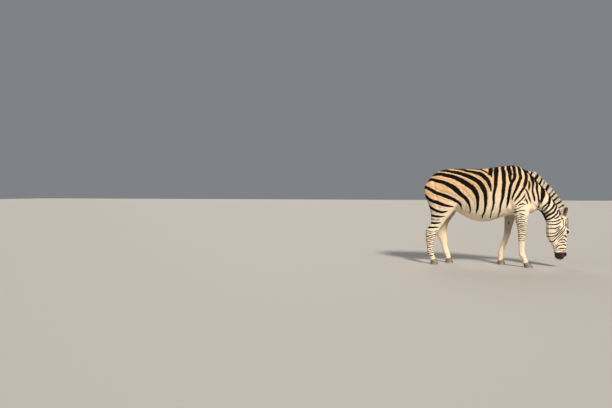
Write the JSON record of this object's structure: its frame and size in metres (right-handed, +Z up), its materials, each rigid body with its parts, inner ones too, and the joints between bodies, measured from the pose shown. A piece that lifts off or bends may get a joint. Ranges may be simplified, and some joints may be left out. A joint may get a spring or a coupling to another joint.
{
  "type": "plains zebra",
  "caption": "Life-size grazing plains zebra: striped coat, upright mane, head lowered to the ground, a pace between its legs, hooves flat on the floor.",
  "frame": {"origin": "on the floor, under the middle of the overall length and in the trunk's middle plane", "axes": "+X toward the nose, +Y to the animal's left, +Z up"},
  "size_m": [1.7785, 0.558, 1.288],
  "materials": {
    "coat": "short striped hair",
    "long_hair": "coarse standing hair",
    "hoof": "worn horn",
    "eye": "wet gloss"
  },
  "bodies": {
    "root": {"croup": "coat", "barrel": "coat", "shoulders": "coat", "neck": "coat", "head": "coat", "ear_right": "coat", "ear_left": "coat", "tail_dock": "coat", "foreleg_right_upper": "coat", "foreleg_right_lower": "coat", "foreleg_left_upper": "coat", "foreleg_left_lower": "coat", "hindleg_right_upper": "coat", "hindleg_right_lower": "coat", "hindleg_left_upper": "coat", "hindleg_left_lower": "coat", "mane": "long_hair", "forelock": "long_hair", "tail_tuft": "long_hair", "hoof_fore_right": "hoof", "hoof_fore_left": "hoof", "hoof_hind_right": "hoof", "hoof_hind_left": "hoof", "eye_right": "eye", "eye_left": "eye"}
  },
  "joints": []
}
